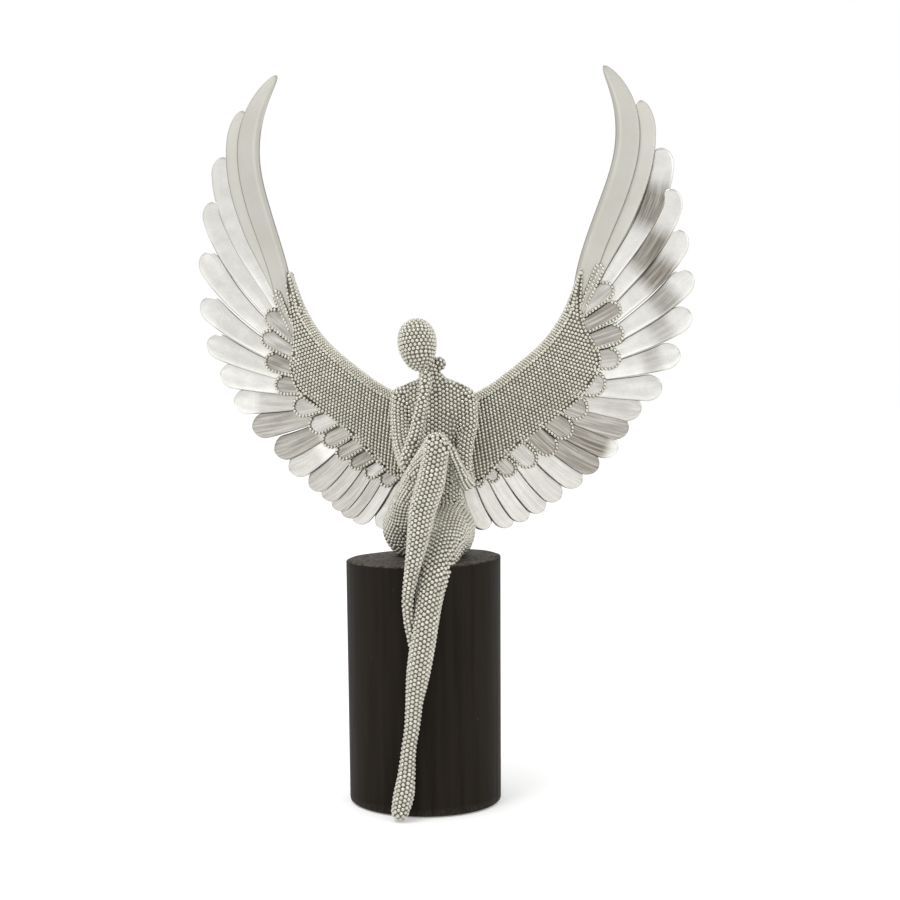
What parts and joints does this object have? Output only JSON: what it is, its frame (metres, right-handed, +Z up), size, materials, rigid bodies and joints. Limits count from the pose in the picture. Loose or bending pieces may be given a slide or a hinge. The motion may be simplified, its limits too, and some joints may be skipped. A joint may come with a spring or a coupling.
{
  "type": "figure trophy",
  "caption": "Winged seated figure on a round plinth, a free-standing award ornament with a beaded body and fanned silver feathers.",
  "frame": {"origin": "centre of the felt's underside, on the surface that the ornament stands on", "axes": "+Z up along the plinth's axis, -Y towards the front where the figure's legs hang, +X towards the figure's left wing"},
  "size_m": [0.2383, 0.0819, 0.3396],
  "materials": {
    "black_wood": "matt black stain with a faint vertical grain",
    "felt": "felt",
    "steel": "zinc plated",
    "brass": "turned",
    "beaded_silver": "cast resin covered with small beads, champagne silver with a dark wash",
    "satin_silver": "cast resin, satin champagne silver",
    "leaf_silver": "cast resin laid with polished silver leaf"
  },
  "bodies": {
    "root": {"plinth": "black_wood", "felt_disc": "felt", "fixing_bolt": "steel", "bolt_washer": "steel", "seat_insert": "brass", "torso": "beaded_silver", "head": "beaded_silver", "hair_bun": "beaded_silver", "right_arm": "beaded_silver", "left_arm": "beaded_silver", "right_leg": "beaded_silver", "left_leg": "beaded_silver", "left_wing_core": "beaded_silver", "right_wing_core": "beaded_silver", "left_wing_coverts": "leaf_silver", "right_wing_coverts": "leaf_silver", "left_wing_pins": "steel", "right_wing_pins": "steel", "left_feather_01": "satin_silver", "left_feather_02": "satin_silver", "left_feather_03": "leaf_silver", "left_feather_04": "leaf_silver", "left_feather_05": "leaf_silver", "left_feather_06": "leaf_silver", "left_feather_07": "leaf_silver", "left_feather_08": "leaf_silver", "left_feather_09": "leaf_silver", "left_feather_10": "leaf_silver", "left_feather_11": "leaf_silver", "left_feather_12": "leaf_silver", "left_feather_13": "leaf_silver", "left_feather_14": "leaf_silver", "left_feather_15": "leaf_silver", "left_feather_16": "leaf_silver", "left_feather_17": "leaf_silver", "left_feather_18": "leaf_silver", "left_feather_19": "leaf_silver", "right_feather_01": "satin_silver", "right_feather_02": "satin_silver", "right_feather_03": "leaf_silver", "right_feather_04": "leaf_silver", "right_feather_05": "leaf_silver", "right_feather_06": "leaf_silver", "right_feather_07": "leaf_silver", "right_feather_08": "leaf_silver", "right_feather_09": "leaf_silver", "right_feather_10": "leaf_silver", "right_feather_11": "leaf_silver", "right_feather_12": "leaf_silver", "right_feather_13": "leaf_silver", "right_feather_14": "leaf_silver", "right_feather_15": "leaf_silver", "right_feather_16": "leaf_silver", "right_feather_17": "leaf_silver", "right_feather_18": "leaf_silver"}
  },
  "joints": []
}
